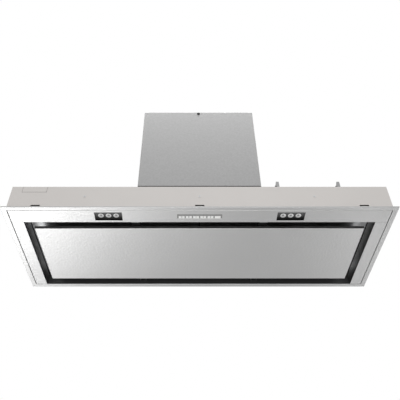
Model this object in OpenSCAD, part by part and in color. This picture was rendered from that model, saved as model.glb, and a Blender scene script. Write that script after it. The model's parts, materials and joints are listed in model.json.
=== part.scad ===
// Built-in cooker hood, 900 mm class, with a hinged panel and suction round its edge.
// Origin at the centre of the trim frame's underside; X to the right, Y to the back, Z up.
// The cook stands at -Y. The hood hangs in a cabinet's cut-out from the trim frame's edge.

/* [Trim frame] */
// Overall width of the trim frame
trim_w = 898; // [860:1:1100]
// Overall depth of the trim frame
trim_d = 300; // [292:1:330]
// Height of the trim frame's folded edge
trim_edge_h = 3; // [2.6:0.2:5]
// Width of the fold that lies against the cabinet
trim_return_w = 8; // [6:0.5:12]
// Gap between that fold and the canopy's wall
return_gap = 1.2; // [1:0.1:3]
// Gap between the canopy's wall and the trim frame's inner lip
lip_gap = 0.3; // [0.2:0.1:2]
// Height of the trim frame's inner lip, at its ends and rear
lip_h = 10; // [6:0.5:12]

/* [Sheet metal] */
// Thickness of the steel sheet
sheet = 1; // [0.8:0.1:1.2]
// Thickness of the inner pan's sheet
pan_sheet = 0.8; // [0.6:0.1:1.2]
// Outer bend radius of the canopy and the motor box
bend_r = 2; // [1.6:0.1:4]
// Outer radius of the folded edges on the underside
edge_r = 0.8; // [0.6:0.1:1]

/* [Canopy] */
// Height of the canopy's top above the underside
canopy_h = 78.8; // [72:0.1:110]
// Height of the inner pan's top above the underside
pan_h = 46; // [40:1:60]
// Height of the retaining slots' centres
slot_z = 14.9; // [13:0.1:20]
// Length of a retaining slot
slot_w = 22; // [16:1:30]
// Height of a retaining slot
slot_h = 5; // [3:0.5:6]
// Distance of the outer retaining slots from the centre
slot_offset = 375; // [330:1:390]
// Distance of the outer rivets from the centre
rivet_offset = 266; // [235:1:300]
// Height of the front rivets above the underside
rivet_z = 45; // [43:0.5:50]
// Width of the cover plate at the front's left end
cover_w = 58; // [40:1:80]
// Height of the cover plate on the front
cover_h = 20; // [12:1:28]
// Distance from the canopy's left end to the cover plate
cover_offset = 25; // [15:1:40]

/* [Fascia] */
// Gap line between the trim frame and the side fascias
side_reveal = 1.4; // [1:0.1:3]
// Gap line between the trim frame and the front fascia
front_reveal = 0.4; // [0.3:0.1:3]
// Depth of the front fascia
front_strip_d = 37.5; // [35:0.1:50]
// Width of a side fascia
side_strip_w = 28; // [20:0.5:40]
// Height of the side fascias' inner flange, the mouth's end walls
side_flange_h = 34; // [10:1:34]
// Distance of the lamps from the centre
lamp_offset = 209; // [160:1:260]
// Length of a lamp unit
lamp_w = 63.5; // [56:0.5:80]
// Depth of a lamp unit
lamp_d = 26; // [20:0.5:26]
// Distance from the front fascia's front edge to the lamps' centre
lamp_inset = 18.9; // [16:0.1:19]
// Spacing of the lenses in a lamp unit
lens_pitch = 17.5; // [16:0.5:20]
// Radius of a lens
lens_r = 6.1; // [5:0.1:7.5]
// Length of the key strip
key_strip_w = 103; // [100:1:120]
// Depth of the key strip
key_strip_d = 16; // [14:0.5:18]
// Distance from the front fascia's front edge to the key strip's centre
key_strip_inset = 19.9; // [17:0.1:20.5]
// Setback of the keys' centre behind the key strip's centre
key_setback = 2.3; // [0:0.1:2.4]
// Spacing of the keys
key_pitch = 16.6; // [15:0.1:17]
// Length of a key
key_w = 13.6; // [10:0.1:14]
// Depth of a key
key_d = 9; // [7:0.1:9.4]
// Travel of a key
key_travel = 0.8; // [0.4:0.1:1.2]

/* [Suction panel] */
// Width of the suction gaps at the panel's ends
side_gap = 20; // [14:0.5:26]
// Width of the suction gap in front of the panel
front_gap = 22.3; // [16:0.1:26]
// Width of the suction gap behind the panel
rear_gap = 23.5; // [18:0.1:28]
// Depth of the panel's folded rim
panel_h = 8; // [6:0.5:9]
// Clearance of the panel above the underside plane
panel_drop = 0.3; // [0.2:0.1:1]
// Distance of the hinges and catches from the centre
catch_offset = 149; // [120:1:200]
// Distance of the hinge axis behind the panel
hinge_back = 5.5; // [5:0.1:8]
// Height of the hinge axis above the underside
hinge_z = 13; // [12.5:0.5:15]
// Radius of the hinge pins
hinge_pin_r = 2; // [1.5:0.1:2.5]

/* [Grease filters] */
// Thickness of a filter
filter_t = 9; // [8:0.5:12]
// Width of a filter's frame
filter_band = 12; // [9:0.5:16]
// Width of the closed plate along a filter's front
filter_front_band = 54; // [36:1:70]
// Width of a diamond opening in the mesh
mesh_w = 22; // [18:1:34]
// Depth of a diamond opening in the mesh
mesh_d = 13; // [11:0.5:20]
// Width of the metal between the openings
mesh_web = 4; // [2.5:0.5:6]
// Travel of a filter's latch
latch_travel = 6; // [4:0.5:8]

/* [Motor box] */
// Width of the motor box
box_w = 293; // [270:1:340]
// Depth of the motor box
box_d = 272; // [262:1:276]
// Setback of the motor box behind the canopy's front
box_step = 2; // [1:0.5:5]
// Height of the motor box's top above the underside
box_top = 377; // [350:1:460]
// Thickness of the seal under the motor box
seal_t = 4; // [2:0.5:6]

/* [Outlet] */
// Outer radius of the duct collar
duct_r = 75; // [60:0.5:75]
// Height of the duct collar's tube
duct_h = 58; // [40:1:80]
// Wall of the duct collar
duct_wall = 2.5; // [2:0.1:3.5]
// Distance of the duct's centre behind the origin
duct_y = 40; // [25:1:45]
// Radius of the flaps' rod
rod_r = 1.5; // [1.2:0.1:2]

/* [Blower] */
// Outer radius of the fan wheel
wheel_r = 70; // [60:0.5:71]
// Half the length of the fan wheel
wheel_half = 54; // [40:1:55]
// Number of blades on the fan wheel
blade_count = 32; // [20:1:40]
// Radial depth of a blade
blade_depth = 13; // [8:0.5:16]
// Smallest inner radius of the scroll, at its tongue
scroll_r0 = 76; // [75:0.5:80]
// Largest inner radius of the scroll, at its outlet
scroll_r1 = 114; // [105:1:116]
// Inner half-width of the scroll
scroll_half = 60; // [58:1:70]
// Wall of the scroll
scroll_wall = 2; // [1.6:0.1:3]
// Radius of the motor's can
motor_r = 42; // [30:1:48]
// Radius of the motor's shaft
shaft_r = 4; // [3:0.5:6]

/* [Cabinet clips] */
// Width of a spring clip
clip_w = 30; // [20:1:40]
// Distance of the clips from the centre
clip_offset = 60; // [40:1:80]
// Height of a clip's free end, over the cabinet's board
clip_low = 24; // [22:1:30]
// Height of a clip's bend above the underside
clip_high = 60; // [56:1:64]
// Reach of a clip's free end from the canopy's wall
clip_reach = 7; // [5:0.5:8]

/* [Hidden] */
$fn = 48;

play = 0.3;                                  // clearance between pieces that only lie near each other
run = 0.05;                                  // radial clearance of a running fit
press = 0.02;                                // radial clearance of a pushed fit

overhang = trim_return_w + return_gap;       // trim frame beyond the canopy
band = overhang + 2 * sheet + lip_gap;       // the trim frame's visible band
shell_x = trim_w / 2 - overhang;             // canopy's outer half sizes
shell_y = trim_d / 2 - overhang;
open_x = trim_w / 2 - band;                  // trim frame's inner opening
open_y = trim_d / 2 - band;
open_front = -shell_y + sheet;
fascia_x = open_x - side_reveal;
fascia_front = open_front + front_reveal;
fascia_rear = open_y - side_reveal;
mouth_x = fascia_x - side_strip_w;           // the suction mouth's edges
mouth_front = fascia_front + front_strip_d;
joint_gap = 0.4;                             // butt joint between the fascias
fascia_fold_h = lip_h - 2;                   // fascias' outer folds
pan_x = mouth_x + sheet + play;              // inner faces of the pan's walls
pan_front = mouth_front - play;
pan_rear = open_y - play - pan_sheet;
pan_flange = 4;
pan_ledge = 12;
arm_z = rivet_z - 5;                         // the pan's arms to the canopy
arm_w = 24;
arm_tab_h = 12;
wing_inset = 14;                             // from the pan's front and rear to its side wings
tongue_w = slot_w - 6;

panel_x = mouth_x - side_gap;
panel_front = mouth_front + front_gap;
panel_rear = pan_rear - rear_gap;
panel_top = panel_drop + panel_h;
hinge_y = panel_rear + hinge_back;
knuckle_r = hinge_pin_r + 1.6;
knuckle_w = 12;
ear_t = 1.5;
striker_d = 12;
striker_t = 1;
striker_inset = 1.5;
backer_border = 28;                          // flat edge of the backer round its swages
swage_d = 22;
swage_h = 3;
catch_w = 20;
catch_t = 2;
catch_plate_h = 20;
catch_body_h = 8;

filter_z0 = pan_h - pan_sheet - 0.2 - filter_t;  // underside of the filters
filter_gap = 1.5;                            // from each filter to the pan's centre line
filter_x1 = pan_x - 3;
filter_y0 = pan_front + 2.5;
filter_y1 = pan_rear - 2.5;
filter_mid = (filter_gap + filter_x1) / 2;
filter_skin = 0.8;
mesh_lap = 8;                                // mesh held in the closed plate at the front
rail_d = 5;
latch_w = 56;
latch_body_d = 16;
latch_pocket_d = latch_body_d + latch_travel + 2 * play;
latch_wall = 2;
latch_rib = 1.2;                             // guides on the latch's sides, in the pocket's grooves
latch_tongue_w = 22;
latch_tongue_t = 2.4;
latch_z = filter_z0 + 2;

lamp_y = fascia_front + lamp_inset;
lamp_pocket = 2.4;                           // how far the lenses lie above the underside
lamp_top = 10;
strip_fit = 0.2;                             // clearance of the lamps and keys in the fascia's windows
strip_y = fascia_front + key_strip_inset;
key_y = strip_y + key_setback;
key_floor = 1.4;                             // how far the keys lie above the underside
key_count = 6;
key_edge_r = 0.6;
key_housing_top = 16;
key_board_z = 10;

box_x = box_w / 2;
box_front = -shell_y + box_step;
box_rear = box_front + box_d;
box_base = canopy_h + seal_t;
box_flange = 12;
seal_w = 10;

wheel_y = duct_y - 73;                       // the scroll's mouth lies under the duct's hole
scroll_floor = 13.2;                         // space under the scroll
wheel_z = box_base + scroll_floor + scroll_r1;
tongue_a = 55;                               // where the scroll starts, degrees from +Y
volute_steps = 30;
adapter_h = 46;
scroll_top = box_top - sheet - adapter_h;
inlet_r = wheel_r - blade_depth + 1;
collar_flange_t = 2;
collar_flange_w = 12;
collar_base = box_top + collar_flange_t;
collar_top = collar_base + duct_h;
flap_z = collar_base + 6;
flap_t = 1;
flap_knuckle_r = rod_r + 1.5;
duct_in = duct_r - duct_wall;
ledge_in = duct_in - 2.5;
flap_r = duct_in - 1;
hub_r = 13;
hub_x = 4;                                   // inner face of the wheel's centre disc
disc_t = 2;
ring_h = 4;                                  // how far an inlet ring stands out of the scroll
capacitor_r = 16;
capacitor_h = 62;
capacitor_inset = 45;                        // from the motor box's left side
can_left = -scroll_half - scroll_wall - ring_h - play;
spider_t = 3;

elec_w = 120;                                // electronics box on the canopy, right of the motor box
elec_x = box_x + (shell_x - box_x) * 0.372;
elec_y0 = box_front + 38;
elec_d = 120;
elec_h = 28;
elec_wall = 2;
elec_foot_t = 3;
hook_offset = [for (share = [0.133, 0.623]) box_x + (shell_x - box_x) * share];  // upright lead hooks
hook_h = 25;
hook_w = 7;
hook_t = 2;
hook_y = box_front + 2 * hook_t;
gland_z = canopy_h + 14;
gland_r = 5;
screw_r = 1.9;                               // sheet screws
screw_head_r = 3.8;
screw_head_h = 2.2;
rear_screw_inset = 7;                        // rear cover's screws, in front of its rear face

clip_t = 1;
clip_foot_h = 12;
screw_hole_r = 2.5;                          // cabinet screw holes in the canopy's ends
screw_hole_z = 33;
screw_spacing = 200;

STEEL = "#c4c4c4";
DARK = "#303030";
CANOPY = "#c8c5c2";
GALV = "#adadad";
ALU = "#bfc2c4";
PLASTIC = "#8b8d8f";

// Box between two corners
module block(x0, x1, y0, y1, z0, z1) {
    translate([x0, y0, z0]) cube([x1 - x0, y1 - y0, z1 - z0]);
}

// Rectangular ring at an inset from the trim frame's outer edge
module trim_ring(inset0, inset1, z0, z1) {
    difference() {
        block(-trim_w / 2 + inset0, trim_w / 2 - inset0,
              -trim_d / 2 + inset0, trim_d / 2 - inset0, z0, z1);
        block(-trim_w / 2 + inset1, trim_w / 2 - inset1,
              -trim_d / 2 + inset1, trim_d / 2 - inset1, z0 - 1, z1 + 1);
    }
}

// Extrudes a profile drawn as (Y, Z) from x0 to x1
module along_x(x0, x1) {
    translate([x0, 0, 0]) rotate([90, 0, 90]) linear_extrude(x1 - x0) children();
}

// Extrudes a profile drawn as (X, Z) from y0 to y1
module along_y(y0, y1) {
    translate([0, y1, 0]) rotate([90, 0, 0]) linear_extrude(y1 - y0) children();
}

// Rectangle with its two lower corners rounded
module soft_profile(a0, a1, z0, z1, r) {
    union() {
        translate([a0, z0 + r]) square([a1 - a0, z1 - z0 - r]);
        translate([a0 + r, z0]) square([a1 - a0 - 2 * r, z1 - z0]);
        for (a = [a0 + r, a1 - r]) translate([a, z0 + r]) circle(r = r);
    }
}

// Block with its four lower edges rounded
module soft_block(x0, x1, y0, y1, z0, z1, r) {
    intersection() {
        along_x(x0, x1) soft_profile(y0, y1, z0, z1, r);
        along_y(y0, y1) soft_profile(x0, x1, z0, z1, r);
    }
}

// Cylinder along X
module rod_x(x0, x1, y, z, r) {
    translate([x0, y, z]) rotate([0, 90, 0]) cylinder(r = r, h = x1 - x0);
}

// Cylinder along Y
module rod_y(y0, y1, x, z, r) {
    translate([x, y1, z]) rotate([90, 0, 0]) cylinder(r = r, h = y1 - y0);
}

module both_sides() {
    children();
    mirror([1, 0, 0]) children();
}

module front_and_rear() {
    children();
    mirror([0, 1, 0]) children();
}

// Stainless frame with a folded and returned edge, an inner lip at its ends and rear,
// and three hooked tongues on the rear lip
module trim_frame() {
    color(STEEL) difference() {
        intersection() {
            union() {
                difference() {
                    block(-trim_w / 2, trim_w / 2, -trim_d / 2, trim_d / 2, 0, sheet);
                    block(-open_x, open_x, open_front, open_y, -1, sheet + 1);
                }
                trim_ring(0, sheet, 0, trim_edge_h);
                trim_ring(0, trim_return_w, trim_edge_h - sheet, trim_edge_h);
                difference() {
                    block(-open_x - sheet, open_x + sheet, open_front, open_y + sheet, 0, lip_h);
                    block(-open_x, open_x, open_front - 1, open_y, -1, lip_h + 1);
                }
                for (x = [-slot_offset, 0, slot_offset]) hooked_tongue(x, open_y + sheet, lip_h - 1);
            }
            soft_block(-trim_w / 2, trim_w / 2, -trim_d / 2, trim_d / 2, 0, canopy_h, edge_r);
        }
        intersection() {
            along_x(-trim_w / 2, trim_w / 2) flare_profile(open_front, open_y);
            along_y(-trim_d / 2, trim_d / 2) flare_profile(-open_x, open_x);
        }
    }
}

// Cutter's profile that rounds the trim frame's inner edge
module flare_profile(a0, a1) {
    difference() {
        translate([a0 - edge_r, -1]) square([a1 - a0 + 2 * edge_r, edge_r + 1]);
        for (a = [a0 - edge_r, a1 + edge_r]) translate([a, edge_r]) circle(r = edge_r);
    }
}

// Tongue behind a rear wall's slot, its hooked end on the slot's lower edge; y1 is its outer face
module hooked_tongue(x, y1, z0) {
    hook_z = slot_z - slot_h / 2 + 0.1;
    block(x - tongue_w / 2, x + tongue_w / 2, y1 - sheet, y1, z0, hook_z + sheet);
    block(x - tongue_w / 2, x + tongue_w / 2, y1 - sheet / 2, shell_y - 2 * play, hook_z, hook_z + sheet);
}

// Rounds the fascias' folded outer edges
module fascia_bounds() {
    intersection() {
        union() children();
        soft_block(-fascia_x, fascia_x, fascia_front, trim_d / 2, 0, canopy_h, edge_r);
    }
}

// Front strip with the windows for the lamps and the keys, hooked into the canopy's front wall
module front_fascia() {
    color(STEEL) difference() {
        union() {
            fascia_bounds() {
                block(-fascia_x, fascia_x, fascia_front, mouth_front, 0, sheet);
                block(-fascia_x, fascia_x, fascia_front, fascia_front + sheet, 0, fascia_fold_h);
            }
            mirror([0, 1, 0]) for (x = [-slot_offset, 0, slot_offset])
                hooked_tongue(x, -fascia_front, fascia_fold_h - 1);
            both_sides() block(catch_offset - catch_w / 2 + 0.5, catch_offset + catch_w / 2 - 0.5,
                               mouth_front - 1, mouth_front + 2.2, 0, sheet);
        }
        both_sides() block(lamp_offset - lamp_w / 2, lamp_offset + lamp_w / 2,
                           lamp_y - lamp_d / 2, lamp_y + lamp_d / 2, -1, sheet + 1);
        block(-key_strip_w / 2, key_strip_w / 2,
              strip_y - key_strip_d / 2, strip_y + key_strip_d / 2, -1, sheet + 1);
    }
}

// Side strips with a low outer fold and a tall inner flange
module side_fascias() {
    y0 = mouth_front + joint_gap;
    color(STEEL) both_sides() fascia_bounds() {
        block(mouth_x, fascia_x, y0, fascia_rear, 0, sheet);
        block(fascia_x - sheet, fascia_x, y0, fascia_rear, 0, fascia_fold_h);
        block(mouth_x, mouth_x + sheet, y0, fascia_rear, 0, side_flange_h);
    }
}

// Cross-section of the canopy's wrap: front, top and rear in one bent sheet
module canopy_profile(half_d, top, r) {
    union() {
        translate([-half_d, sheet]) square([2 * half_d, top - sheet - r]);
        translate([-half_d + r, sheet]) square([2 * (half_d - r), top - sheet]);
        for (s = [-1, 1]) translate([s * (half_d - r), top - r]) circle(r = r);
    }
}

module canopy_solid() {
    along_x(-shell_x, shell_x) canopy_profile(shell_y, canopy_h, bend_r);
}

module canopy_hollow() {
    along_x(-shell_x + sheet, shell_x - sheet)
        canopy_profile(shell_y - sheet, canopy_h - sheet, bend_r - sheet);
    block(-shell_x + sheet, shell_x - sheet, -shell_y + sheet, shell_y - sheet, 0, sheet + 1);
}

cover_x0 = -shell_x + cover_offset;
cover_top_d = 16;

// Region of the canopy's sheet that the cover plate fills
module cover_region(shrink) {
    block(cover_x0 + shrink, cover_x0 + cover_w - shrink, -shell_y - 1,
          -shell_y + cover_top_d - shrink, canopy_h - cover_h + shrink, canopy_h + 1);
}

// Mouth in the canopy's top below the motor box
module motor_mouth(z0, z1) {
    block(-box_x + box_flange, box_x - box_flange,
          box_front + box_flange, box_rear - box_flange, z0, z1);
}

module canopy_shell() {
    color(CANOPY) difference() {
        canopy_solid();
        canopy_hollow();
        cover_region(0);
        motor_mouth(canopy_h - sheet - 1, canopy_h + 1);
        front_and_rear() for (x = [-slot_offset, 0, slot_offset]) retaining_slot(x);
        for (x = [-rivet_offset, 0, rivet_offset])
            rod_y(-shell_y - 1, -shell_y + sheet + 1, x, rivet_z, rivet_r + 0.1);
        both_sides() for (s = [-1, 1])
            rod_x(shell_x - sheet - 1, shell_x + 1, s * screw_spacing / 2, screw_hole_z, screw_hole_r);
        elec_screw_places() translate([0, 0, canopy_h - sheet - 1])
            cylinder(r = screw_r + press, h = sheet + 2);
    }
}

// Round-ended slot through the canopy's front wall
module retaining_slot(x) {
    r = slot_h / 2;
    half = slot_w / 2 - r;
    union() {
        block(x - half, x + half, -shell_y - 1, -shell_y + sheet + 1, slot_z - r, slot_z + r);
        for (s = [-1, 1]) rod_y(-shell_y - 1, -shell_y + sheet + 1, x + s * half, slot_z, r);
    }
}

// Bent plate that closes the cut-out at the front's left end
module cover_plate() {
    lap = 5;
    side = 4;
    color(CANOPY) union() {
        intersection() {
            difference() {
                canopy_solid();
                canopy_hollow();
            }
            cover_region(0.5);
        }
        block(cover_x0 + side, cover_x0 + cover_w - side, -shell_y + sheet, -shell_y + 2 * sheet,
              canopy_h - cover_h - lap, canopy_h - cover_h + 2);
        block(cover_x0 + side, cover_x0 + cover_w - side, -shell_y + sheet / 2, -shell_y + 2 * sheet,
              canopy_h - cover_h + 1, canopy_h - 2 * bend_r);
    }
}

rivet_r = 1.6;
rivet_head_r = 2.6;

module front_rivets() {
    color("#b9bcc0") for (x = [-rivet_offset, 0, rivet_offset]) union() {
        rod_y(-shell_y - 0.7, -shell_y, x, rivet_z, rivet_head_r);
        rod_y(-shell_y - 0.1, -shell_y + sheet + pan_sheet + 0.8, x, rivet_z, rivet_r);
    }
}

// Dark tray that forms the mouth's walls, holds the filters and carries the panel
module inner_pan() {
    x1 = pan_x + pan_sheet;
    y0 = pan_front - pan_sheet;
    y1 = pan_rear + pan_sheet;
    color(DARK) difference() {
        union() {
            difference() {
                block(-x1, x1, y0, y1, sheet, pan_h);
                block(-pan_x, pan_x, pan_front, pan_rear, 0, pan_h - pan_sheet);
                block(-pan_x + pan_ledge, pan_x - pan_ledge,
                      pan_front + pan_ledge, pan_rear - pan_ledge, 0, pan_h + 1);
            }
            block(-x1 - pan_flange + 1, x1 + pan_flange - 1, y0 - pan_flange, y0 + 0.1,
                  sheet, sheet + pan_sheet);
            both_sides() block(x1 - 0.1, x1 + pan_flange, mouth_front + joint_gap, fascia_rear - 1,
                               sheet, sheet + pan_sheet);
            block(-pan_x + 4, pan_x - 4, pan_rear - rail_d, pan_rear + 0.1,
                  filter_z0 - 0.2 - pan_sheet, filter_z0 - 0.2);
            for (x = [-rivet_offset, 0, rivet_offset]) pan_front_arm(x, y0);
            for (x = [-rivet_offset, 0, rivet_offset])
                block(x - arm_w / 2, x + arm_w / 2, y1 - 0.1, shell_y - sheet, arm_z, arm_z + arm_tab_h);
            both_sides() for (y = [pan_front + wing_inset, pan_rear - wing_inset]) pan_wing(y, x1);
        }
        for (s = [-1, 1]) {
            block(s * filter_mid - latch_tongue_w / 2 - 1, s * filter_mid + latch_tongue_w / 2 + 1,
                  y0 - 1, pan_front + 1, latch_z - 0.6, latch_z + latch_tongue_t + 0.6);
        }
        for (x = [-rivet_offset, 0, rivet_offset])
            rod_y(-shell_y, -shell_y + sheet + pan_sheet + 1, x, rivet_z, rivet_r + 0.1);
    }
}

module pan_front_arm(x, y0) {
    block(x - arm_w / 2, x + arm_w / 2, -shell_y + sheet, y0 + 0.1, arm_z, arm_z + pan_sheet);
    block(x - arm_w / 2, x + arm_w / 2, -shell_y + sheet, -shell_y + sheet + pan_sheet,
          arm_z, arm_z + arm_tab_h);
}

module pan_wing(y, x1) {
    block(x1 - 0.1, shell_x - sheet, y - arm_w / 2, y + arm_w / 2, arm_z + 6, arm_z + 6 + pan_sheet - 0.1);
    block(shell_x - sheet - pan_sheet, shell_x - sheet, y - arm_w / 2, y + arm_w / 2,
          arm_z + 6, arm_z + 6 + arm_tab_h);
}

// Folded aluminium frame of the right-hand filter, with the latch's pocket
module filter_frame() {
    z0 = filter_z0;
    z1 = filter_z0 + filter_t;
    px = latch_w / 2 + play + latch_wall;
    py = filter_y0 + latch_pocket_d + 2 * latch_wall;
    color(ALU) difference() {
        union() {
            difference() {
                block(filter_gap, filter_x1, filter_y0, filter_y1, z0, z1);
                block(filter_gap + filter_skin, filter_x1 - filter_skin,
                      filter_y0 + filter_skin, filter_y1 - filter_skin,
                      z0 + filter_skin, z1 - filter_skin);
                block(filter_gap + filter_band, filter_x1 - filter_band,
                      filter_y0 + filter_front_band, filter_y1 - filter_band, z0 - 1, z1 + 1);
            }
            block(filter_mid - px, filter_mid + px, filter_y0, py, z0, z1);
        }
        block(filter_mid - px + latch_wall, filter_mid + px - latch_wall,
              filter_y0 + latch_wall, filter_y0 + latch_wall + latch_pocket_d, z0 - 1, z1 - latch_wall);
        block(filter_mid - px + latch_wall - latch_rib, filter_mid + px - latch_wall + latch_rib,
              filter_y0 + latch_wall, filter_y0 + latch_wall + latch_pocket_d,
              latch_z - play, latch_z + latch_rib + play);
        block(filter_mid - latch_tongue_w / 2 - play, filter_mid + latch_tongue_w / 2 + play,
              filter_y0 - 1, filter_y0 + latch_wall + 1,
              latch_z - play, latch_z + latch_tongue_t + play);
    }
}

module filter_frame_right() filter_frame();

module filter_frame_left() mirror([1, 0, 0]) filter_frame();

// One layer of expanded mesh: a sheet with staggered diamond openings
module mesh_layer(shift) {
    x0 = filter_gap + filter_skin + play;
    x1 = filter_x1 - filter_skin - play;
    y0 = filter_y0 + filter_front_band - mesh_lap;
    y1 = filter_y1 - filter_skin - play;
    open_y0 = filter_y0 + filter_front_band;
    open_y1 = filter_y1 - filter_band;
    pitch_x = mesh_w + mesh_web;
    pitch_y = mesh_d + mesh_web;
    cols = floor((filter_x1 - filter_gap - 2 * filter_band) / pitch_x);
    rows = floor((open_y1 - open_y0) / pitch_y);
    difference() {
        translate([x0, y0]) square([x1 - x0, y1 - y0]);
        for (r = [0 : rows - 1], c = [0 : cols - 1 - (r + shift) % 2]) {
            cx = filter_mid + (c - (cols - 1 - (r + shift) % 2) / 2) * pitch_x;
            cy = (open_y0 + open_y1) / 2 + (r - (rows - 1) / 2) * pitch_y;
            translate([cx, cy])
                polygon([[-mesh_w / 2, 0], [0, -mesh_d / 2], [mesh_w / 2, 0], [0, mesh_d / 2]]);
        }
    }
}

module filter_meshes() {
    layer_t = 1;
    color(ALU) both_sides() for (k = [0, 1])
        translate([0, 0, filter_z0 + filter_skin + 0.4 + k * (filter_t - 2 * filter_skin - 0.8 - layer_t)])
            linear_extrude(layer_t) mesh_layer(k);
}

// Sliding bolt with a finger grip, at rest pushed forward into the pan's wall
module filter_latch() {
    y0 = filter_y0 + latch_wall + play;
    z1 = filter_z0 + filter_t - latch_wall - play;
    grip_r = 5;
    color(DARK) difference() {
        union() {
            block(filter_mid - latch_w / 2, filter_mid + latch_w / 2, y0, y0 + latch_body_d,
                  filter_z0 + 0.2, z1);
            block(filter_mid - latch_w / 2 - latch_rib, filter_mid + latch_w / 2 + latch_rib,
                  y0, y0 + latch_body_d, latch_z, latch_z + latch_rib);
            block(filter_mid - latch_tongue_w / 2, filter_mid + latch_tongue_w / 2,
                  pan_front - pan_sheet - 2, y0 + 1, latch_z, latch_z + latch_tongue_t);
        }
        for (x = [-14, 0, 14]) translate([filter_mid + x, y0 + latch_body_d / 2, filter_z0 - 1])
            cylinder(r = grip_r, h = 4);
    }
}

module filter_latch_right() filter_latch();

module filter_latch_left() mirror([1, 0, 0]) filter_latch();

// Stainless panel: a shallow tray with its rim folded up
module perimeter_panel() {
    color(STEEL) difference() {
        soft_block(-panel_x, panel_x, panel_front, panel_rear, panel_drop, panel_top, edge_r);
        block(-panel_x + sheet, panel_x - sheet, panel_front + sheet, panel_rear - sheet,
              panel_drop + sheet, panel_top + 1);
    }
}

// Cross-section of a swage, as (Y, Z) about the middle of its mouth
module swage_profile(grow) {
    half = swage_d / 2 + grow;
    polygon([[-half, 1], [-half, 0], [-half + swage_h, -swage_h - grow],
             [half - swage_h, -swage_h - grow], [half, 0], [half, 1]]);
}

// Stiffening tray inside the panel: thin sheet with long swages pressed into its top
module panel_backer() {
    x1 = panel_x - sheet - 1;
    y0 = panel_front + sheet + 1;
    y1 = panel_rear - sheet - 1;
    z0 = panel_drop + sheet;
    t = pan_sheet;
    swages = 4;
    first = y0 + backer_border;
    pitch = (y1 - y0 - 2 * backer_border) / swages;
    color(GALV) difference() {
        union() {
            difference() {
                block(-x1, x1, y0, y1, z0, panel_top);
                block(-x1 + t, x1 - t, y0 + t, y1 - t, z0 - 1, panel_top - t);
            }
            for (k = [0 : swages - 1]) along_x(-x1 + backer_border - t, x1 - backer_border + t)
                translate([first + (k + 0.5) * pitch, panel_top - 0.01]) intersection() {
                    swage_profile(t);
                    translate([-swage_d, -2 * swage_h]) square([2 * swage_d, 2 * swage_h]);
                }
        }
        for (k = [0 : swages - 1]) along_x(-x1 + backer_border, x1 - backer_border)
            translate([first + (k + 0.5) * pitch, panel_top]) swage_profile(0);
    }
}

// Arms from the panel back to the hinge pins
module panel_hinge_arms() {
    foot_d = 22;
    color(GALV) both_sides() difference() {
        union() {
            rod_x(catch_offset - knuckle_w / 2, catch_offset + knuckle_w / 2,
                  hinge_y, hinge_z, knuckle_r);
            along_x(catch_offset - knuckle_w / 2, catch_offset + knuckle_w / 2)
                polygon([[hinge_y - knuckle_r * 0.8, hinge_z - knuckle_r * 0.6],
                         [panel_rear - sheet - 2, panel_top + play],
                         [panel_rear - foot_d, panel_top],
                         [panel_rear - foot_d, panel_top + 1.5],
                         [panel_rear - 6, panel_top + 2.4],
                         [hinge_y - knuckle_r * 0.5, hinge_z + knuckle_r * 0.8],
                         [hinge_y, hinge_z]]);
            block(catch_offset - knuckle_w, catch_offset + knuckle_w,
                  panel_rear - foot_d, panel_rear - sheet - 3, panel_top, panel_top + 1.5);
        }
        rod_x(catch_offset - knuckle_w, catch_offset + knuckle_w, hinge_y, hinge_z, hinge_pin_r + run);
    }
}

// Steel plates on the panel that the magnetic catches hold
module panel_strikers() {
    y0 = panel_front + sheet + striker_inset;
    color(GALV) both_sides() block(catch_offset - catch_w / 2, catch_offset + catch_w / 2,
                                   y0, y0 + striker_d, panel_top, panel_top + striker_t);
}

// Ears on the pan's rear wall that hold the hinge pins
module hinge_brackets() {
    gap = knuckle_w / 2 + play;
    color(DARK) both_sides() difference() {
        union() {
            for (s = [-1, 1])
                along_x(catch_offset + s * (gap + ear_t / 2) - ear_t / 2,
                        catch_offset + s * (gap + ear_t / 2) + ear_t / 2)
                    union() {
                        translate([hinge_y, hinge_z - knuckle_r])
                            square([pan_rear - hinge_y, 2 * knuckle_r + 4]);
                        translate([hinge_y, hinge_z]) circle(r = knuckle_r);
                    }
            block(catch_offset - gap - ear_t, catch_offset + gap + ear_t, pan_rear - 1.2, pan_rear,
                  hinge_z - knuckle_r, hinge_z + knuckle_r + 4);
        }
        rod_x(catch_offset - gap - 3, catch_offset + gap + 3, hinge_y, hinge_z, hinge_pin_r + press);
    }
}

module hinge_pins() {
    half = knuckle_w / 2 + play + ear_t;
    color("#9a9a9a") both_sides() union() {
        rod_x(catch_offset - half - 1, catch_offset + half + 0.5, hinge_y, hinge_z, hinge_pin_r);
        rod_x(catch_offset + half + 0.1, catch_offset + half + 1.3, hinge_y, hinge_z, hinge_pin_r + 1);
    }
}

// Magnetic catches on the pan's front wall
module catches() {
    x0 = catch_offset - catch_w / 2;
    x1 = catch_offset + catch_w / 2;
    y1 = panel_front + sheet + striker_inset + striker_d;
    z0 = panel_top + striker_t + play;
    color(DARK) both_sides() union() {
        block(x0, x1, pan_front, pan_front + catch_t, z0, z0 + catch_plate_h);
        block(x0, x1, pan_front, y1, z0, z0 + catch_body_h);
        for (x = [x0, x1 - catch_t]) along_x(x, x + catch_t)
            polygon([[pan_front + 1, z0 + catch_body_h - 1], [y1 - 2 * catch_t, z0 + catch_body_h - 1],
                     [pan_front + 1, z0 + catch_plate_h - 1]]);
    }
}

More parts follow.
